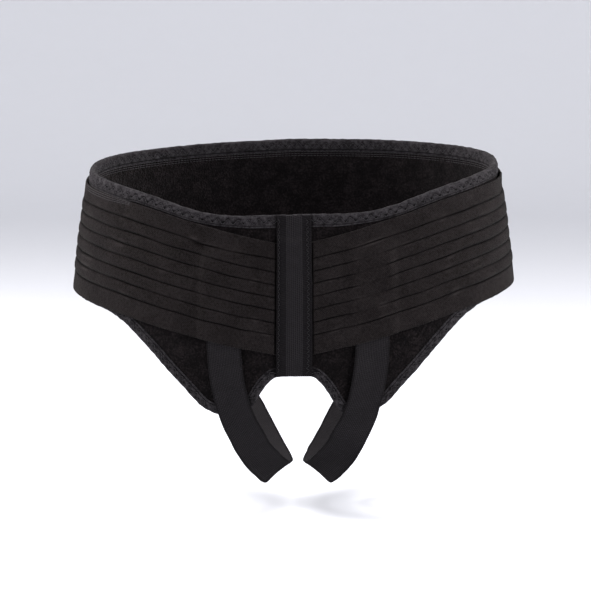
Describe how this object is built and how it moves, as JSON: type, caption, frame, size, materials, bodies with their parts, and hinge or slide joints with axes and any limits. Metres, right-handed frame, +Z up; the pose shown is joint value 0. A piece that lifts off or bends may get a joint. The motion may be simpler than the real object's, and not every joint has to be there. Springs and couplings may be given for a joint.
{
  "type": "inguinal hernia belt",
  "caption": "Black hip belt with padded groin lobes, a grooved elastic band, a centre strip and leg straps, held open in the form it has when worn.",
  "frame": {"origin": "middle of the hip hollow, on the centre plane, a little below half the height of the elastic band", "axes": "+Z up, -Y towards the front with the centre strip, +X towards the viewer's right as seen from the front, which is the wearer's left"},
  "size_m": [0.3872, 0.251, 0.2991],
  "materials": {
    "plush": "black looped plush, matt",
    "tape": "black binding tape with zigzag stitching",
    "elastic": "black woven elastic, matt",
    "webbing": "black ribbed webbing, slight sheen"
  },
  "bodies": {
    "root": {"hip_panel": "plush", "top_binding": "tape", "lower_binding": "tape", "elastic_band": "elastic", "centre_strip": "webbing", "leg_strap_left": "webbing", "leg_strap_right": "webbing"}
  },
  "joints": []
}
